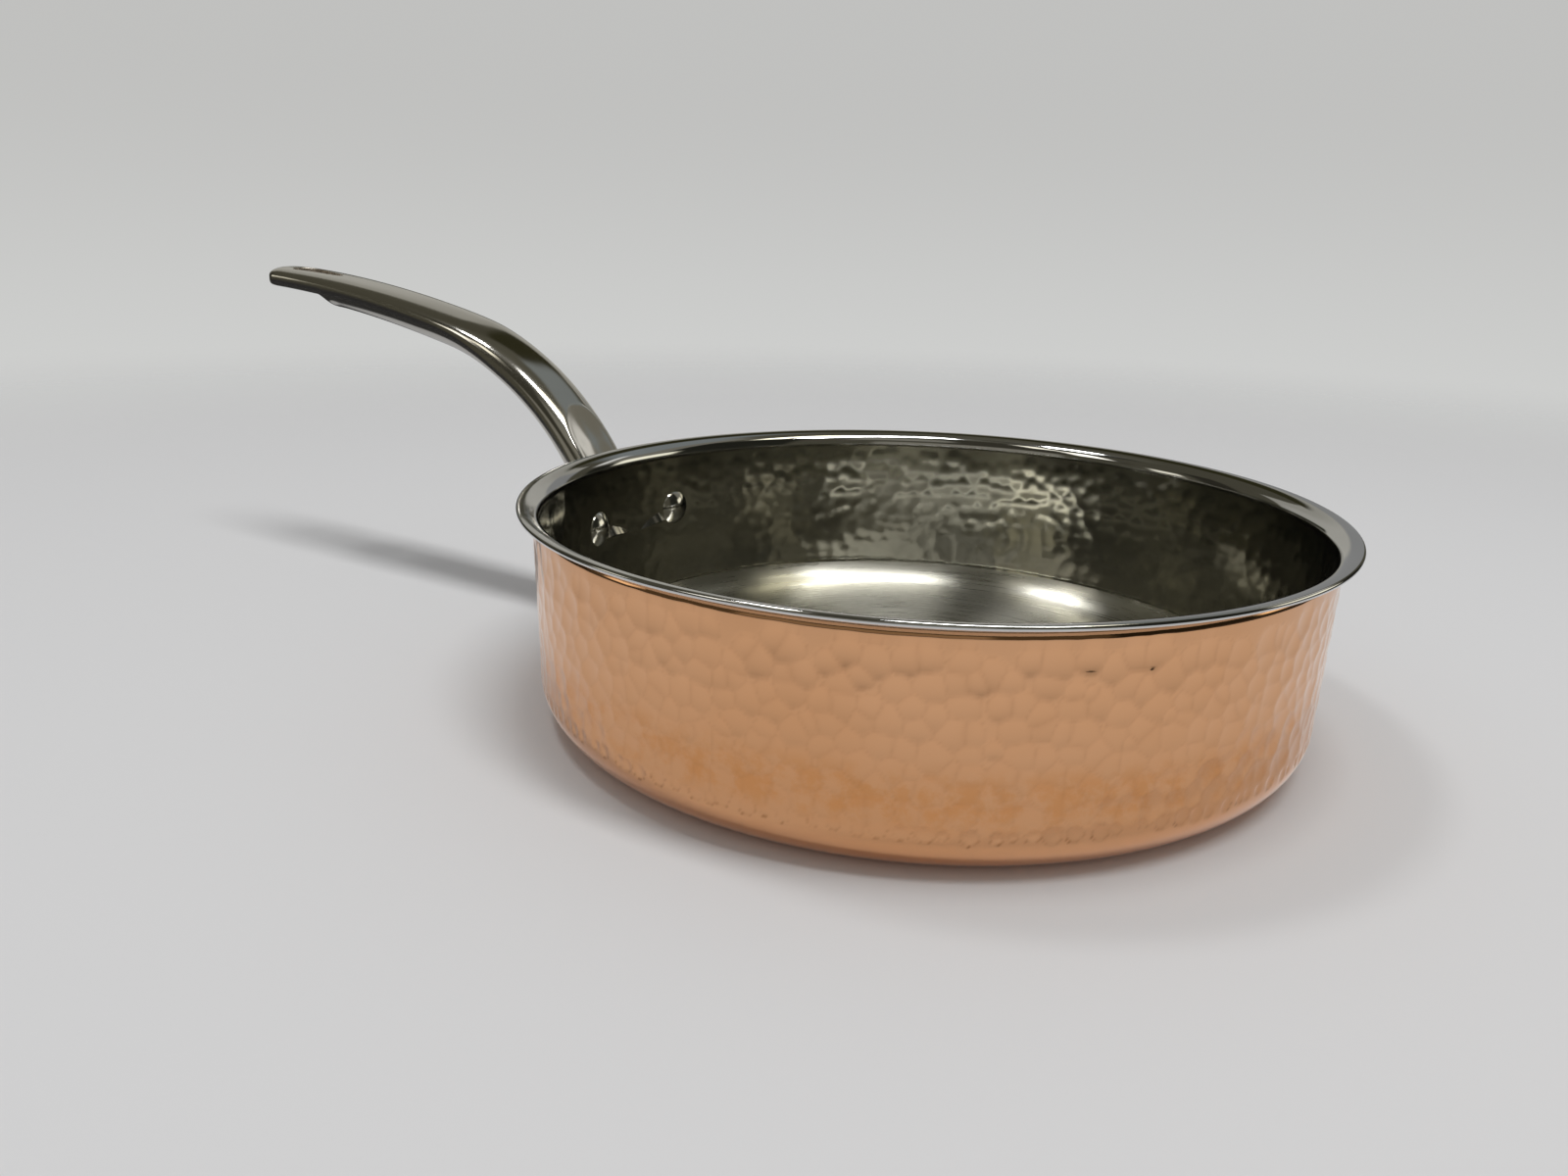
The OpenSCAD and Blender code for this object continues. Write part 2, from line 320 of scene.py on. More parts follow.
def polished(tree, shader, roughness, variation, grain=polishing["grain"]):
    use = node(tree, "ShaderNodeGroup", node_tree=polish)
    use.inputs["Roughness"].default_value = roughness
    use.inputs["Variation"].default_value = variation
    use.inputs["Grain"].default_value = grain
    tree.links.new(objectPoint(tree), use.inputs["Point"])
    tree.links.new(use.outputs["Roughness"], shader.inputs["Roughness"])
    addBump(tree, shader, use.outputs["Height"], polishing["strength"], polishing["distance"])


copperLook = {
    "color": (0.612, 0.335, 0.178),  # at the table
    "high": (0.765, 0.42, 0.224),  # at the copper's top edge
    "deep": (0.60, 0.27, 0.095),  # an orange tint: a painted reflection in a band, and random clouds
    "rim": (0.36, 0.17, 0.075),  # painted shade between the dents
    "rimShadeShare": 0.21,
    "roughness": 0.06,
    "variation": 0.03,
    "grain": 1500.0,
    # the band, a painted reflection of the copper-tinted paper round the foot, fades in above bandLow and out
    # below bandHigh, and is patchy
    "bandLow": 12 * mm,
    "bandRise": 7 * mm,
    "bandHigh": 33 * mm,
    "bandFall": 9 * mm,
    "bandShare": 0.6,
    "patchScale": 130.0,
    "patchLeast": 0.12,
    "cloudScale": 24.0,
    "cloudShare": 0.2,
}


def makeCopper():
    look = copperLook
    material, tree, shader = newMaterial("hammeredCopper", look["color"], 1.0, look["roughness"])
    point = objectPoint(tree)
    split = node(tree, "ShaderNodeSeparateXYZ")
    tree.links.new(point, split.inputs[0])
    z = split.outputs["Z"]
    rise = stepBetween(tree, z, look["bandLow"], look["bandLow"] + look["bandRise"])
    fall = stepBetween(tree, z, look["bandHigh"] - look["bandFall"], look["bandHigh"], 1.0, 0.0)
    paintedReflection = math2(tree, "MULTIPLY", rise, fall)
    patches = noise(tree, point, look["patchScale"], 5.0, 0.65)
    patches = stepBetween(tree, patches, 0.40, 0.62, look["patchLeast"], 1.0)
    paintedReflection = math2(tree, "MULTIPLY", paintedReflection, patches)
    clouds = noise(tree, point, look["cloudScale"], 4.0)
    clouds = stepBetween(tree, clouds, 0.35, 0.75, 0.0, look["cloudShare"])
    amount = math2(tree, "ADD", math2(tree, "MULTIPLY", paintedReflection, look["bandShare"]), clouds, clamp=True)
    high = stepBetween(tree, z, 0.0, pan["bandBottom"])
    tint = mixColor(tree, high, look["color"], look["high"])
    tint = mixColor(tree, amount, tint, look["deep"])
    # painted shade: the colour darkens towards the rim colour along the rims between the dents and along the
    # foot dents' lower edges
    rim = node(tree, "ShaderNodeAttribute", attribute_name="rim").outputs["Fac"]
    paintedRimShade = math2(tree, "MULTIPLY", rim, look["rimShadeShare"])
    tree.links.new(mixColor(tree, paintedRimShade, tint, look["rim"]), shader.inputs["Base Color"])
    polished(tree, shader, look["roughness"], look["variation"], look["grain"])
    return material


steelClouds = {
    "scale": 35.0,
    "darker": 0.94,
}


def makeSteel(name, color, roughness, variation):
    material, tree, shader = newMaterial(name, color, 1.0, roughness)
    clouds = noise(tree, objectPoint(tree), steelClouds["scale"], 3.0)
    clouds = stepBetween(tree, clouds, 0.3, 0.7)
    darker = tuple(c * steelClouds["darker"] for c in color)
    tree.links.new(mixColor(tree, clouds, color, darker), shader.inputs["Base Color"])
    polished(tree, shader, roughness, variation)
    return material


floorLook = {
    "color": (0.56, 0.55, 0.49),
    "roughness": (0.24, 0.36),
    "middle": 0.3,
    "anisotropy": 0.98,
    "rotation": 0.25,
    "rings": 1400.0,  # the grain's waves for each metre of radius
    "turns": 3.0,  # and for each radian round the axis
    "strength": 0.12,
    "distance": 0.05 * mm,
}


# The floor is brushed in circles: the grain is noise that changes with the radius and hardly along the turn
def makeFloor():
    look = floorLook
    material, tree, shader = newMaterial("brushedFloor", look["color"], 1.0, look["middle"])
    shader.inputs["Anisotropic"].default_value = look["anisotropy"]
    tangent = node(tree, "ShaderNodeTangent", direction_type="RADIAL", axis="Z")
    tree.links.new(tangent.outputs[0], shader.inputs["Tangent"])
    shader.inputs["Anisotropic Rotation"].default_value = look["rotation"]
    point = objectPoint(tree)
    length = node(tree, "ShaderNodeVectorMath", operation="LENGTH")
    flat = node(tree, "ShaderNodeVectorMath", operation="MULTIPLY")
    flat.inputs[1].default_value = (1, 1, 0)
    tree.links.new(point, flat.inputs[0])
    tree.links.new(flat.outputs[0], length.inputs[0])
    split = node(tree, "ShaderNodeSeparateXYZ")
    tree.links.new(point, split.inputs[0])
    turn = math2(tree, "ARCTAN2", split.outputs["Y"], split.outputs["X"])
    ring = node(tree, "ShaderNodeCombineXYZ")
    tree.links.new(math2(tree, "MULTIPLY", length.outputs["Value"], look["rings"]), ring.inputs[0])
    tree.links.new(math2(tree, "MULTIPLY", turn, look["turns"]), ring.inputs[1])
    grain = noise(tree, ring.outputs[0], 1.0, 4.0, 0.6)
    tree.links.new(stepBetween(tree, grain, 0.25, 0.75, *look["roughness"]), shader.inputs["Roughness"])
    addBump(tree, shader, grain, look["strength"], look["distance"])
    return material


copper = makeCopper()
hammeredSteel = makeSteel("hammeredSteel", (0.50, 0.49, 0.435), 0.12, 0.02)
lipSteel = makeSteel("lipSteel", (0.64, 0.64, 0.635), 0.07, 0.02)
handleSteel = makeSteel("handleSteel", (0.64, 0.62, 0.58), 0.12, 0.03)
holeSteel = makeSteel("holeSteel", (0.66, 0.61, 0.54), 0.34, 0.03)
rivetSteel = makeSteel("rivetSteel", (0.64, 0.63, 0.60), 0.12, 0.03)
rolledAluminium = makeSteel("rolledAluminium", (0.78, 0.79, 0.80), 0.35, 0.08)
brushedFloor = makeFloor()
print("materials made")


# Pan

# Radius of the wall at a height z, at depth d from its outside
def wallRadius(z, d):
    grown = pan["flare"] * (z - pan["corner"]) / (pan["bandBottom"] - pan["corner"])
    return pan["wallOut"] - pan["flare"] - d + grown


copperShell = {
    "columns": 1090,
    "fineStep": 0.75 * mm,  # between rows, up to fineAbove past the highest dents' centres
    "fineAbove": 5 * mm,
    "dents": {
        "seed": 7,
        "pitch": 6.5 * mm,
        "jitter": 0.38,  # in pitches
        "depth": 0.46 * mm,  # of the deepest blows
        "spread": 0.35,  # the depth varies by this share
        "ball": 25 * mm,  # radius of the hammer's face
        "bottom": 19 * mm,  # height of the lowest row
        "top": 54.5 * mm,
        "rimWidth": 0.07 * mm,  # difference in depth over which a rim fades
        "busy": -55,  # degrees from +X towards +Y
        "calm": 0.6,
        "sharpShare": 0.04,
    },
    "foot": {
        "seed": 8,
        "pitch": 5.4 * mm,
        "jitter": 0.3,
        "depth": 0.4 * mm,
        "spread": 0.4,
        "ball": 8 * mm,
        "bottom": 13.4 * mm,
        "top": 14 * mm,
        "rimWidth": 0.07 * mm,
        "busy": -55,
        "calm": 0.4,
        "sharpShare": 0.2,
    },
    # the foot's dents have painted shade along their lower edges, which fades upwards through footMiddle
    "footMiddle": 13.7 * mm,
    "footFade": 3 * mm,
    "footLeast": 0.1,
    "footEdge": 4.5,
    "footEdgeWidth": 0.06 * mm,
}


# Outside from the base's middle round the corner and up the hammered wall, over the top edge,
# and back down the side that lies on the core
def makeCopperShell():
    shell = copperShell
    r = pan["corner"]
    columns = shell["columns"]
    centre = (pan["wallOut"] - pan["flare"] - r, r)
    base = line((0, 0), (centre[0], 0), 1)
    corner = np.concatenate([arc(centre, r, -90, -45, 5)[1:], arc(centre, r, -45, 0, 14)[1:]])
    dentTop = shell["dents"]["top"] + shell["fineAbove"]
    wallZ = np.concatenate([
        np.arange(r + shell["fineStep"], dentTop, shell["fineStep"]),
        np.linspace(dentTop, pan["bandBottom"], 3),
    ])
    wall = np.stack([wallRadius(wallZ, 0), wallZ], 1)
    inner = r - pan["skin"]
    back = np.concatenate([
        line((wallRadius(pan["bandBottom"], pan["skin"]), pan["bandBottom"]), (centre[0] + inner, r), 1),
        arc(centre, inner, 0, -90, 5)[1:],
        line((centre[0], pan["skin"]), (0, pan["skin"]), 1)[1:],
    ])
    profile = np.concatenate([base, corner, wall, back])
    theta = np.arange(columns) * 2 * math.pi / columns
    push = np.zeros((len(profile), columns))
    rims = np.zeros((len(profile), columns))
    front = slice(len(base), len(base) + len(corner) + len(wall))
    height = profile[front, 1]
    depth, rim = hammered(theta, height, pan["wallOut"], shell["dents"])
    footDepth, footRim = hammered(theta, height, pan["wallOut"], shell["foot"])
    # painted shade: the foot dents' lower edges darken, less so further up
    lower = np.clip((shell["footMiddle"] - height) / shell["footFade"] + 0.5, shell["footLeast"], 1)
    edge = shell["footEdge"] * np.exp(-footDepth / shell["footEdgeWidth"]) * lower[:, None]
    rims[front] = np.where(footDepth > depth, np.maximum(footRim, edge), rim)
    push[front] = -np.maximum(depth, footDepth)
    rows = turned(profile, columns, push)
    piece = skinFromRows("copperShell", rows, [copper])
    paint(piece, "rim", np.concatenate([rims[k][:len(row)] for k, row in enumerate(rows)]))
    return piece


liningShell = {
    "columns": 720,
    "wallStep": 1.0 * mm,
    "dents": {
        "seed": 23,
        "pitch": 6.4 * mm,
        "jitter": 0.38,
        "depth": 0.17 * mm,
        "spread": 0.4,
        "ball": 56 * mm,
        "bottom": 14.0 * mm,
        "top": 55.0 * mm,
        "rimWidth": 0.07 * mm,
        "busy": 90,
        "calm": 0.3,
        "sharpShare": 0.03,
    },
    "smooth": (7 * mm, 12 * mm),  # the dents fade in between these distances from a rivet's axis
}


# Inside from the floor's middle round the corner, up the hammered wall, over the lip and its rounded edge,
# along the fillet underneath, and back down the side that lies on the core
def makeLining():
    columns = liningShell["columns"]
    r = pan["corner"]
    centre = (pan["wallOut"] - pan["flare"] - r, r)
    inner = r - pan["sheet"]
    edgeR = pan["lip"] / 2
    edgeX = pan["lipRadius"] - edgeR
    flare = edgeX - pan["wallIn"]
    floor = line((0, pan["sheet"]), (centre[0], pan["sheet"]), 10)
    corner = arc(centre, inner, -90, 0, 12)[1:]
    top = pan["height"] - pan["lipRise"]
    steps = int((top - r) / liningShell["wallStep"])
    wallZ = np.linspace(r, top, steps + 1)[1:]
    wall = np.stack([wallRadius(wallZ, pan["sheet"]), wallZ], 1)
    lip = arc((edgeX, top), flare, 180, 90, 28, pan["lipRise"])[1:]
    edge = arc((edgeX, pan["height"] - edgeR), edgeR, 90, -90, 16)[1:]
    underZ = pan["height"] - pan["lip"]
    fillet = min(underZ - pan["bandBottom"], edgeX - pan["wallOut"])
    under = arc((pan["wallOut"] + fillet, underZ - fillet), fillet, 90, 180, 8)
    coreTop = pan["bandBottom"] - pan["seal"]
    back = np.concatenate([
        [(pan["wallOut"], pan["bandBottom"])],
        [(wallRadius(pan["bandBottom"], pan["skin"]), pan["bandBottom"])],
        [(wallRadius(coreTop, pan["skin"]), coreTop)],
        [(wallRadius(coreTop, pan["sheet"] - pan["skin"]), coreTop)],
        arc(centre, inner + pan["skin"], 0, -90, 8),
        line((centre[0], pan["sheet"] - pan["skin"]), (0, pan["sheet"] - pan["skin"]), 3)[1:],
    ])
    profile = np.concatenate([floor, corner, wall, lip, edge, under, back])
    theta = np.arange(columns) * 2 * math.pi / columns
    push = np.zeros((len(profile), columns))
    inside = slice(len(floor), len(floor) + len(corner) + len(wall))
    height = profile[inside, 1]
    depth = hammered(theta, height, pan["wallIn"], liningShell["dents"])[0]
    for side in (-1, 1):
        off = (theta - math.pi - side * rivets["angle"]) * pan["wallIn"]
        away = np.hypot(off[None, :], height[:, None] - rivets["height"])
        depth = depth * ease(away, *liningShell["smooth"])
    push[inside] = -depth
    rows = turned(profile, columns, push)
    # the brushing ends two rows below the corner's top
    floorEnd = len(floor) + len(corner) - 3
    wallEnd = len(floor) + len(corner) + len(wall) - 1
    slots = [0 if k < floorEnd else 1 if k < wallEnd else 2 for k in range(len(rows) - 1)]
    # the profile runs outwards along the floor, so the faces are turned to point into the pan
    rows = [row[::-1] for row in rows]
    return skinFromRows("steelLining", rows, [brushedFloor, hammeredSteel, lipSteel], slots)


flange = {
    "thickness": 3.4 * mm,
    "length": 66 * mm,
    "height": 29 * mm,
    "power": 2.6,
    "edge": 1.1 * mm,  # radius of the rounded edge
    "fillet": 3.5 * mm,  # to the handle
    "sunk": 0.3 * mm,  # into the wall
    "columns": 96,
}
rivets = {
    "gap": 46 * mm,
    "height": 41.2 * mm,
    "head": (6.4 * mm, 2.6 * mm),  # radius and height
    "shank": 3 * mm,  # radius
    "peen": (4.8 * mm, 1.8 * mm),
    "skirt": 0.5 * mm,  # a head's straight side, sunk into what it lies on
    "columns": 64,
}
flange["radius"] = wallRadius(rivets["height"], 0) + flange["thickness"]
rivets["angle"] = math.asin(rivets["gap"] / 2 / flange["radius"])

copperPiece = makeCopperShell()
liningPiece = makeLining()
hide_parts("copper_shell")
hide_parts("steel_lining")
print("pan made: %d and %d faces" % (len(copperPiece.data.polygons), len(liningPiece.data.polygons)))


# Handle

handleShape = {
    "reach": -handleLow.x,
    "rootHeight": 43.8 * mm,
    "rootAngle": math.radians(54.5),
    "rootLength": 25 * mm,
    "bendRadius": 112 * mm,
    "gripAngle": math.radians(13.2),
    "tipAngle": math.radians(3),
    "rootWidth": 31 * mm,
    "waistWidth": 25.8 * mm,
    "gripWidth": 27.6 * mm,
    "tipWidth": 28.4 * mm,
    "rise": 2 * mm,  # the crown's top above the handle's line
    "thickness": 11.8 * mm,
    "crown": 3.9 * mm,  # the crown's top above the section's widest line, on the grip
    "bendCrown": 7.4 * mm,  # and at the bend
    "crownBlend": (10 * mm, -35 * mm),  # where the crown changes, from the bend's end
    "topPower": 2.6,
    "rootPower": 2.4,  # the underside's power at the bend, on the grip and at the tip
    "gripPower": 2.9,
    "tipPower": 4.5,
    "powerBlend": (-30 * mm, 20 * mm),  # from the bend's end
    # the widths change over these lengths
    "waistBlend": 14 * mm,
    "gripBlend": 10 * mm,
    "tipBlend": 20 * mm,
    "tipThickness": 8 * mm,
    "tipLength": 40.5 * mm,
    "stepLength": 10 * mm,
    "tipRound": 9 * mm,  # in plan
    "planPower": 2.6,
    "endRound": 1.6 * mm,  # in thickness, down to the share endThin
    "endThin": 0.55,
    "scoopLength": 46 * mm,
    "scoopWidth": 21 * mm,
    "scoopDepth": 2.6 * mm,
    "scoopEnd": 0.75,  # length of the scoop's round end, in widths
    "scoopEase": (-0.1, 0.35),  # over these shares of the depth its sides run out
    "holeWidth": 12 * mm,
    "holeTail": 4 * mm,
    "holeLength": 29 * mm,
    "holeEdge": 7 * mm,
    "holeRound": 0.35 * mm,
    "inWall": 8 * mm,  # the loft starts this far inside the wall's outside
    "endGap": 0.05 * mm,  # and ends this far before the line does
    "past": 1 * mm,  # the hole's cutter runs this far past both faces
    "crease": math.radians(35),
    "rows": 230,
    "tipRows": 24,
    "columns": 112,
}
tiny = 0.001 * mm  # keeps a divisor above zero


# The handle's line: a straight root, a bend and a long shallow crown.
# Gives slope, distance from the pan's axis and height at lengths s from the wall,
# the line's whole length and where its bend ends.
def handleLine(s):
    h = handleShape
    a0, a1, a2 = h["rootAngle"], h["gripAngle"], h["tipAngle"]
    x0 = wallRadius(h["rootHeight"], 0)
    bendX = x0 + h["rootLength"] * math.cos(a0)
    bendZ = h["rootHeight"] + h["rootLength"] * math.sin(a0)
    gripX = bendX + h["bendRadius"] * (math.sin(a0) - math.sin(a1))
    gripZ = bendZ + h["bendRadius"] * (math.cos(a1) - math.cos(a0))
    bendLength = h["bendRadius"] * (a0 - a1)
    gripLength = (h["reach"] - gripX) / math.cos((a1 + a2) / 2)
    gripRadius = gripLength / (a1 - a2)
    start = h["rootLength"] + bendLength
    total = start + gripLength
    bend = a0 - (s - h["rootLength"]) / h["bendRadius"]
    grip = a1 - (s - start) / gripRadius
    slope = np.where(s < h["rootLength"], a0, np.where(s < start, bend, grip))
    x = np.where(s < h["rootLength"], x0 + s * math.cos(a0), np.where(
        s < start, bendX + h["bendRadius"] * (math.sin(a0) - np.sin(slope)),
        gripX + gripRadius * (math.sin(a1) - np.sin(slope))))
    z = np.where(s < h["rootLength"], h["rootHeight"] + s * math.sin(a0), np.where(
        s < start, bendZ + h["bendRadius"] * (np.cos(slope) - math.cos(a0)),
        gripZ + gripRadius * (np.cos(slope) - math.cos(a1))))
    return slope, x, z, total, start


# Sections across the line: |y/w|^p + |n/h|^p = 1, crowned above the widest line and deep below it,
# with the scoop taken out of the top near the pan and a fillet where they meet the flange
def handleRows():
    h = handleShape
    total, bendEnd = handleLine(np.zeros(1))[3:]
    tipStart = total - h["tipLength"]
    start = -h["inWall"]
    end = total - h["endGap"]
    even = np.linspace(0, 1, h["rows"] - h["tipRows"])
    roundTip = np.linspace(0, 1, h["tipRows"] + 1)[1:]
    s = np.concatenate([
        start + (total - h["tipRound"] - start) * even,
        total - h["tipRound"] * (1 - roundTip) ** 2,
    ])
    s = np.minimum(s, end)
    slope, x, z, _, _ = handleLine(s)
    left = np.clip((total - s) / h["tipRound"], 0, 1)
    plan = (1 - (1 - left) ** h["planPower"]) ** (1 / h["planPower"])
    toWaist = ease(s, 0, h["waistBlend"])
    toGrip = ease(s, h["rootLength"] + h["gripBlend"], bendEnd + h["gripBlend"])
    toTipWidth = ease(s, tipStart - h["tipBlend"], tipStart + h["tipBlend"])
    width = plan / 2 * (
        h["rootWidth"]
        + (h["waistWidth"] - h["rootWidth"]) * toWaist
        + (h["gripWidth"] - h["waistWidth"]) * toGrip
        + (h["tipWidth"] - h["gripWidth"]) * toTipWidth
    )
    left = np.clip((total - s) / h["endRound"], 0, 1)
    thin = h["endThin"] + (1 - h["endThin"]) * np.sqrt(1 - (1 - left) ** 2)
    step = ease(s, tipStart - h["stepLength"] / 2, tipStart + h["stepLength"] / 2)
    toBend = ease(s, *(bendEnd + way for way in h["crownBlend"]))
    crown = thin * (h["crown"] + (h["bendCrown"] - h["crown"]) * toBend)
    belly = thin * (h["thickness"] + (h["tipThickness"] - h["thickness"]) * step) - crown
    toDeep = ease(s, *(bendEnd + way for way in h["powerBlend"]))
    toFlat = ease(s, tipStart - h["stepLength"], tipStart + h["stepLength"])
    under = h["rootPower"] + (h["gripPower"] - h["rootPower"]) * toDeep
    under = under + (h["tipPower"] - h["gripPower"]) * toFlat
    # y runs across the handle, and n at right angles to y and to the line
    t = np.arange(h["columns"]) * 2 * math.pi / h["columns"]
    c, d = np.cos(t)[None, :], np.sin(t)[None, :]
    power = np.where(d > 0, h["topPower"], under[:, None])
    y = width[:, None] * np.sign(c) * np.abs(c) ** (2 / power)
    # the scoop is a parabola across, with a round end towards the grip
    run = np.clip((h["scoopLength"] - s) / (h["scoopEnd"] * h["scoopWidth"]), 0, 1)[:, None]
    half = h["scoopWidth"] / 2 * np.sqrt(1 - (1 - run) ** 2) + tiny
    across = np.clip(1 - (y / half) ** 2, 0, 1)
    hollow = h["scoopDepth"] * (1 - (1 - run) ** 2) * across * ease(across, *h["scoopEase"])
    tall = np.abs(d) ** (2 / power)
    n = np.where(d > 0, crown[:, None] * tall - hollow, -belly[:, None] * tall)
    n = n + (thin * h["rise"] - crown)[:, None]
    # near the flange the section grows by a quarter round, apart from its top
    px = -(x[:, None] - n * np.sin(slope)[:, None])
    near = np.clip(1 - (np.hypot(px, y) - flange["radius"]) / flange["fillet"], 0, 1)
    grown = flange["fillet"] * (1 - np.sqrt(1 - near ** 2)) * (px < 0)
    size = np.hypot(y, n) + tiny
    y = y * (1 + grown / size)
    n = np.where(n < 0, n * (1 + grown / size), n)
    px = -(x[:, None] - n * np.sin(slope)[:, None])
    pz = z[:, None] + n * np.cos(slope)[:, None]
    return [np.stack([px[k], y[k], pz[k]], 1) for k in range(len(s))]


# The hang hole's cutter: a teardrop with its round end near the tip, flared by a rounded edge at both faces
def makeHoleCutter():
    h = handleShape
    total = handleLine(np.zeros(1))[3]
    big, small = h["holeWidth"] / 2, h["holeTail"] / 2
    at = total - h["holeEdge"] - big
    slope, x, z, _, _ = handleLine(np.array([at]))
    slope, x, z = slope[0], x[0], z[0]
    span = h["holeLength"] - big - small
    lean = math.degrees(math.acos((big - small) / span))
    top, edge = h["rise"], h["holeRound"]
    bottom = h["rise"] - h["tipThickness"]
    bend = np.radians(np.linspace(0, 90, 7))
    levels = [(bottom - h["past"], edge)]
    levels += [(bottom + edge * math.sin(b), edge * math.cos(b) ** 2) for b in bend]
    levels += [(top - edge * math.sin(b), edge * math.cos(b) ** 2) for b in bend[::-1]]
    levels += [(top + h["past"], edge)]
    rows = []
    for n, wide in levels:
        outline = np.concatenate([
            arc((0, 0), big + wide, lean, 360 - lean, 40),
            arc((span, 0), small + wide, -lean, lean, 16),
        ])
        px = -(x - outline[:, 0] * math.cos(slope) - n * math.sin(slope))
        pz = z - outline[:, 0] * math.sin(slope) + n * math.cos(slope)
        rows.append(np.stack([px, outline[:, 1], pz], 1))
    rows = [rows[0].mean(0)[None, :]] + rows + [rows[-1].mean(0)[None, :]]
    return skinFromRows("holeCutter", rows, [holeSteel])


def makeHandle():
    rows = handleRows()
    rows = [rows[0].mean(0)[None, :]] + rows + [rows[-1].mean(0)[None, :]]
    whole = skinFromRows("handleBlank", [row[::-1] for row in rows], [handleSteel])
    cutter = makeHoleCutter()
    cut = whole.modifiers.new("hangHole", "BOOLEAN")
    cut.operation = "DIFFERENCE"
    cut.solver = "EXACT"
    cut.object = cutter
    cut.material_mode = "TRANSFER"
    view = bpy.context.evaluated_depsgraph_get()
    mesh = bpy.data.meshes.new_from_object(whole.evaluated_get(view))
    mesh.name = "handle"
    mesh.shade_smooth()
    mesh.set_sharp_from_angle(angle=handleShape["crease"])
    piece = bpy.data.objects.new("handle", mesh)
    bpy.context.scene.collection.objects.link(piece)
    bpy.data.objects.remove(cutter)
    bpy.data.objects.remove(whole)
    return piece


# The flange lies on the wall: a full oval |a|^p + |b|^p = 1 on a cylinder, with a rounded edge
def makeFlange():
    f = flange
    t = np.arange(f["columns"]) * 2 * math.pi / f["columns"]
    c, d = np.cos(t), np.sin(t)
    side = np.sign(c) * np.abs(c) ** (2 / f["power"]) * f["length"] / 2
    up = np.sign(d) * np.abs(d) ** (2 / f["power"]) * f["height"] / 2
    share = f["edge"] / (f["height"] / 2)
    back = wallRadius(rivets["height"], 0) - f["sunk"]
    levels = [(k, f["radius"]) for k in np.linspace(0, 1 - share, 12)]
    bend = np.radians(np.linspace(0, 90, 6)[1:])
    levels += [(1 - share * (1 - math.sin(b)), f["radius"] - f["edge"] * (1 - math.cos(b))) for b in bend]
    levels += [(1.0, back), (0.0, back)]
    rows = []
    for k, radius in levels:
        y = k * side
        points = np.stack([-np.sqrt(radius ** 2 - y ** 2), y, rivets["height"] + k * up], 1)
        rows.append(points[:1] if k == 0 else points)
    return skinFromRows("handleFlange", [row[::-1] for row in rows], [handleSteel])


# A rivet on its own axis: domed head inside, shank, and peened head outside. Both domes are parts of a ball.
def makeRivet(name, side):
    wall = wallRadius(rivets["height"], pan["sheet"])
    profile = []
    for (r, h), base, way in ((rivets["head"], wall, -1), (rivets["peen"], flange["radius"], 1)):
        ball = (r * r + h * h) / (2 * h)
        tilt = np.linspace(0, math.asin(r / ball), 13)
        dome = [(ball * math.sin(a), base + way * (h - ball + ball * math.cos(a))) for a in tilt]
        skirt = [(wide, base - way * rivets["skirt"]) for wide in (r, rivets["shank"])]
        profile.append(dome + skirt)
    along = np.array(profile[0] + profile[1][::-1])
    turn = np.arange(rivets["columns"]) * 2 * math.pi / rivets["columns"]
    angle = math.pi - side * rivets["angle"]
    outward = np.array([math.cos(angle), math.sin(angle), 0])
    across = np.array([-math.sin(angle), math.cos(angle), 0])
    rows = []
    for r, distance in along:
        ring = outward * distance + np.outer(r * np.cos(turn), across) + np.outer(r * np.sin(turn), (0, 0, 1))
        ring[:, 2] += rivets["height"]
        rows.append(ring[:1] if r < 1e-7 else ring)
    return skinFromRows(name, rows, [rivetSteel])


handlePiece = makeHandle()
flangePiece = makeFlange()
for piece in (handlePiece, flangePiece):
    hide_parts("handle")
print("handle made: %d faces" % len(handlePiece.data.polygons))

rivetPieces = []
for cadName, name in (("rivet_left", "rivetLeft"), ("rivet_right", "rivetRight")):
    low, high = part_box(cadName)
    piece = makeRivet(name, 1 if low.y + high.y > 0 else -1)
    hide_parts(cadName)
    rivetPieces.append(piece)
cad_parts["aluminium_core"].data.materials.clear()
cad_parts["aluminium_core"].data.materials.append(rolledAluminium)

for piece in (copperPiece, liningPiece, handlePiece, flangePiece, *rivetPieces):
    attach(piece, "root")
print("rivets made")


# Camera, from the photograph's view: place in metres, heading clockwise from +Y, tilt down, roll, lens
view = {
    "place": (150.1 * mm, -321.9 * mm, 144.1 * mm),
    "heading": -32.113,
    "tilt": 17.281,
    "roll": -1.493,
    "lens": 25.875,
    "sensor": 36,
}


def makeCamera():
    heading, tilt, roll = (math.radians(view[key]) for key in ("heading", "tilt", "roll"))
    forward = Vector((
        math.sin(heading) * math.cos(tilt),
        math.cos(heading) * math.cos(tilt),
        -math.sin(tilt),
    ))
    right = Vector((math.cos(heading), -math.sin(heading), 0))
    down = forward.cross(right)
    turnedRight = right * math.cos(roll) + down * math.sin(roll)
    turnedDown = -right * math.sin(roll) + down * math.cos(roll)
    lens = bpy.data.cameras.new("camera")
    lens.lens = view["lens"]
    lens.sensor_width = view["sensor"]
    lens.clip_start = 0.01
    lens.clip_end = 50
    camera = bpy.data.objects.new("camera", lens)
    aim = Matrix((turnedRight, -turnedDown, -forward)).transposed().to_4x4()
    camera.matrix_world = Matrix.Translation(view["place"]) @ aim
    bpy.context.scene.collection.objects.link(camera)
    bpy.context.scene.camera = camera


makeCamera()


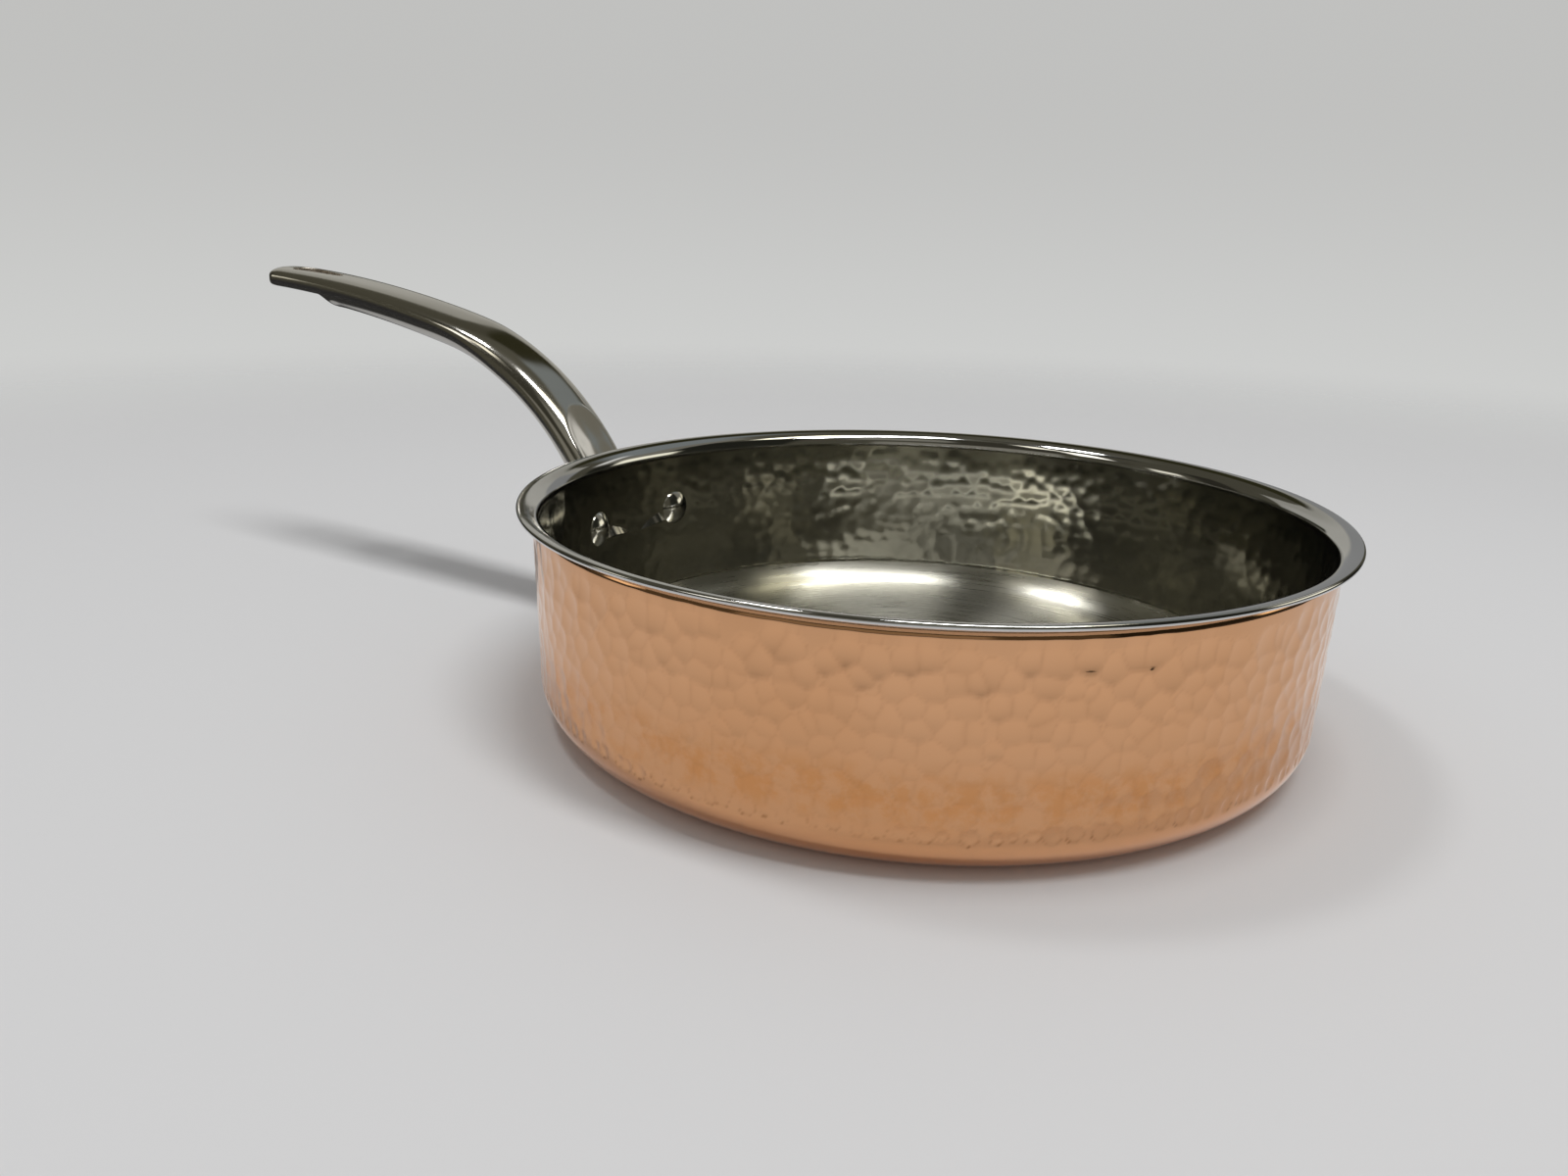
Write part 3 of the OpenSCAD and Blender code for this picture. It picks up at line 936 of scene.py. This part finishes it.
# Paper floor that fades into the background, two ceiling panels, and a room that only reflections see
studio = {
    "paper": (0.76, 0.76, 0.765),
    "paperRoughness": 0.9,
    "paperRings": (0, 0.2, 0.5, 1.0, 1.6, 2.4, 4.0),
    "paperColumns": 96,
    "paperDrop": 0.1 * mm,  # below the pan's base
    "paperFade": (0.45, 1.3),  # the paper fades out between these distances
    "paperGrain": {"scale": 160.0, "strength": 0.15, "distance": 0.3 * mm},
    # the background changes between the two elevations of horizon, in degrees
    "background": (0.62, 0.625, 0.615),
    "backgroundHigh": (0.53, 0.53, 0.52),
    "horizon": (-8, 7),
    "fill": 0.36,  # the room's light on what isn't glossy
    "panels": [
        {"centre": (0.6, -0.125, 2.0), "size": (1.35, 0.32), "radiance": 13.1},
        {"centre": (-0.775, -0.125, 2.0), "size": (0.35, 0.32), "radiance": 17.3},
    ],
    # reflections see the paper as a strip that runs up behind the pan, and a dark floor beside it
    "strip": {
        "across": (0.961, 0.276),
        "from": -440 * mm,
        "to": 350 * mm,
        "soft": 10 * mm,
        "front": -500 * mm,
        "frontSoft": 20 * mm,
    },
    # painted light: the paper's brightness in reflections, against the distance from the pan's axis; it falls
    # off away from the foot, with a brighter ring just outside it that stands in for the light the copper
    # throws on the paper
    "glow": {"near": 1.2, "from": 121 * mm, "fall": 1.5, "far": 0.7, "ring": 133 * mm, "ringExtra": 0.42},
    "besideStrip": (0.03, 0.03, 0.03),
}

# The room as reflections see it: walls, then windows laid over them in turn.
# turn is the middle and half width in degrees from +X towards +Y, rise the low and high elevation,
# and soft the width of the edge, which is 5 degrees where it isn't given.
room = {
    "walls": (0.078, 0.073, 0.052),
    "windows": [
        {"turn": (0, 200), "rise": (56, 90), "color": (0.10, 0.095, 0.07)},
        {"turn": (30, 45), "rise": (-90, 50), "color": (0.018, 0.018, 0.013)},
        {"turn": (37, 8), "rise": (0, 20), "color": (0.095, 0.09, 0.06)},
        {"turn": (57, 19), "rise": (20, 62), "soft": 5, "color": (0.21, 0.20, 0.165)},
        {"turn": (80, 24), "rise": (35, 60), "soft": 8, "color": (0.23, 0.25, 0.25)},
        {"turn": (74, 4), "rise": (24, 37), "soft": 4, "color": (0.85, 0.84, 0.80)},
        {"turn": (124, 35), "rise": (-90, 29), "soft": 1, "color": (0.36, 0.35, 0.31)},
        {"turn": (130, 25), "rise": (-90, 20), "soft": 8, "color": (0.43, 0.42, 0.38)},
        {"turn": (97, 9), "rise": (-90, 23), "soft": 4, "color": (0.27, 0.272, 0.27)},
        {"turn": (116, 10), "rise": (27, 52), "soft": 3, "color": (0.03, 0.028, 0.012)},
        {"turn": (160, 30), "rise": (-90, 8), "soft": 3, "color": (0.03, 0.03, 0.02)},
        {"turn": (188, 8), "rise": (-90, 35), "color": (0.03, 0.028, 0.02)},
        {"turn": (213, 18), "rise": (-90, -3), "color": (0.03, 0.029, 0.03)},
        {"turn": (255, 35), "rise": (24, 72), "soft": 8, "color": (0.045, 0.042, 0.03)},
        {"turn": (281, 33), "rise": (-90, 21), "color": (0.24, 0.228, 0.19)},
        {"turn": (243, 7), "rise": (50, 64), "soft": 4, "color": (1.7, 1.62, 1.36)},
        {"turn": (209, 6), "rise": (5, 20), "soft": 4, "color": (1.1, 1.05, 0.88)},
        {"turn": (45, 14), "rise": (6, 22), "soft": 5, "color": (1.3, 1.24, 1.0)},
        {"turn": (14, 9), "rise": (56, 76), "soft": 6, "color": (4.0, 3.8, 3.0)},
        {"turn": (200, 14), "rise": (54, 82), "soft": 5, "color": (0.03, 0.028, 0.02)},
        {"turn": (232, 7), "rise": (31, 50), "color": (2.3, 2.2, 1.95)},
        {"turn": (306, 21), "rise": (38, 58), "soft": 8, "color": (0.25, 0.24, 0.20)},
    ],
}


def makeFloorDisc():
    material, tree, shader = newMaterial("paper", studio["paper"], 0.0, studio["paperRoughness"])
    point = objectPoint(tree)
    length = node(tree, "ShaderNodeVectorMath", operation="LENGTH")
    tree.links.new(point, length.inputs[0])
    radius = length.outputs["Value"]
    solid = stepBetween(tree, radius, *studio["paperFade"], 1.0, 0.0)
    tree.links.new(solid, shader.inputs["Alpha"])
    strip = studio["strip"]
    split = node(tree, "ShaderNodeSeparateXYZ")
    tree.links.new(point, split.inputs[0])
    x = math2(tree, "MULTIPLY", split.outputs["X"], strip["across"][0])
    across = math2(tree, "ADD", x, math2(tree, "MULTIPLY", split.outputs["Y"], strip["across"][1]))
    soft, frontSoft = strip["soft"], strip["frontSoft"]
    left = stepBetween(tree, across, strip["from"] - soft, strip["from"] + soft, 1.0, 0.0)
    right = stepBetween(tree, across, strip["to"] - soft, strip["to"] + soft)
    front = split.outputs["Y"]
    front = stepBetween(tree, front, strip["front"] - frontSoft, strip["front"] + frontSoft, 1.0, 0.0)
    beside = math2(tree, "MAXIMUM", math2(tree, "MAXIMUM", left, right), front)
    # painted light for reflections: the paper brightens near the foot and in a ring round it, and falls off
    # further out
    glow = studio["glow"]
    fall = math2(tree, "MULTIPLY", math2(tree, "SUBTRACT", radius, glow["from"]), glow["fall"])
    ring = stepBetween(tree, radius, glow["from"], glow["ring"], glow["ringExtra"], 0.0)
    gain = math2(tree, "ADD", math2(tree, "SUBTRACT", glow["near"], fall), ring)
    gain = math2(tree, "MAXIMUM", gain, glow["far"])
    gain = math2(tree, "MULTIPLY", gain, math2(tree, "SUBTRACT", 1.0, beside))
    seen = node(tree, "ShaderNodeVectorMath", operation="SCALE")
    seen.inputs[0].default_value = studio["paper"]
    tree.links.new(gain, seen.inputs["Scale"])
    floorSeen = node(tree, "ShaderNodeVectorMath", operation="MAXIMUM")
    tree.links.new(seen.outputs[0], floorSeen.inputs[0])
    floorSeen.inputs[1].default_value = studio["besideStrip"]
    seen = floorSeen.outputs[0]
    path = node(tree, "ShaderNodeLightPath")
    shade = mixColor(tree, path.outputs["Is Glossy Ray"], studio["paper"], seen)
    tree.links.new(shade, shader.inputs["Base Color"])
    grain = studio["paperGrain"]
    addBump(tree, shader, noise(tree, point, grain["scale"], 4.0), grain["strength"], grain["distance"])
    profile = [(r, -studio["paperDrop"]) for r in studio["paperRings"]]
    rows = turned(profile, studio["paperColumns"])
    disc = skinFromRows("paperFloor", [row[::-1] for row in rows], [material])


def makePanel(settings, index):
    lamp = bpy.data.lights.new("panel%d" % index, "AREA")
    lamp.shape = "RECTANGLE"
    lamp.size, lamp.size_y = settings["size"]
    lamp.energy = settings["radiance"] * math.pi * settings["size"][0] * settings["size"][1]
    holder = bpy.data.objects.new("panel%d" % index, lamp)
    holder.location = settings["centre"]
    bpy.context.scene.collection.objects.link(holder)


# A soft window round a compass direction, between two elevations: 1 inside and 0 outside
def windowMask(tree, turn, rise, window):
    centre, half = (math.radians(v) for v in window["turn"])
    low, high = (math.radians(v) for v in window["rise"])
    soft = math.radians(window.get("soft", 5))
    around = node(tree, "ShaderNodeMath", operation="WRAP")
    tree.links.new(math2(tree, "SUBTRACT", turn, centre), around.inputs[0])
    around.inputs[1].default_value = math.pi
    around.inputs[2].default_value = -math.pi
    away = math2(tree, "ABSOLUTE", around.outputs[0])
    sides = stepBetween(tree, away, half - soft / 2, half + soft / 2, 1.0, 0.0)
    bottom = stepBetween(tree, rise, low - soft / 2, low + soft / 2)
    top = stepBetween(tree, rise, high - soft / 2, high + soft / 2, 1.0, 0.0)
    return math2(tree, "MULTIPLY", sides, math2(tree, "MULTIPLY", bottom, top))


def makeWorld():
    world = bpy.data.worlds.new("studio")
    bpy.context.scene.world = world
    world.use_nodes = True
    tree = world.node_tree
    tree.nodes.clear()
    direction = node(tree, "ShaderNodeTexCoord").outputs["Generated"]
    split = node(tree, "ShaderNodeSeparateXYZ")
    tree.links.new(direction, split.inputs[0])
    turn = math2(tree, "ARCTAN2", split.outputs["Y"], split.outputs["X"])
    rise = math2(tree, "ARCSINE", split.outputs["Z"])
    seen = room["walls"]
    for window in room["windows"]:
        seen = mixColor(tree, windowMask(tree, turn, rise, window), seen, window["color"])
    path = node(tree, "ShaderNodeLightPath")
    shaders = []
    high = stepBetween(tree, rise, *(math.radians(v) for v in studio["horizon"]))
    behind = mixColor(tree, high, studio["background"], studio["backgroundHigh"])
    for color in (behind, seen, tuple([studio["fill"]] * 3)):
        shade = node(tree, "ShaderNodeBackground")
        if hasattr(color, "is_output"):
            tree.links.new(color, shade.inputs["Color"])
        else:
            shade.inputs["Color"].default_value = (*color, 1)
        shaders.append(shade.outputs[0])
    gloss = node(tree, "ShaderNodeMixShader")
    tree.links.new(path.outputs["Is Glossy Ray"], gloss.inputs[0])
    tree.links.new(shaders[2], gloss.inputs[1])
    tree.links.new(shaders[1], gloss.inputs[2])
    lens = node(tree, "ShaderNodeMixShader")
    tree.links.new(path.outputs["Is Camera Ray"], lens.inputs[0])
    tree.links.new(gloss.outputs[0], lens.inputs[1])
    tree.links.new(shaders[0], lens.inputs[2])
    out = node(tree, "ShaderNodeOutputWorld")
    tree.links.new(lens.outputs[0], out.inputs[0])


makeFloorDisc()
for index, settings in enumerate(studio["panels"]):
    makePanel(settings, index)
makeWorld()
bpy.context.scene.view_settings.view_transform = "Standard"
print("studio made")
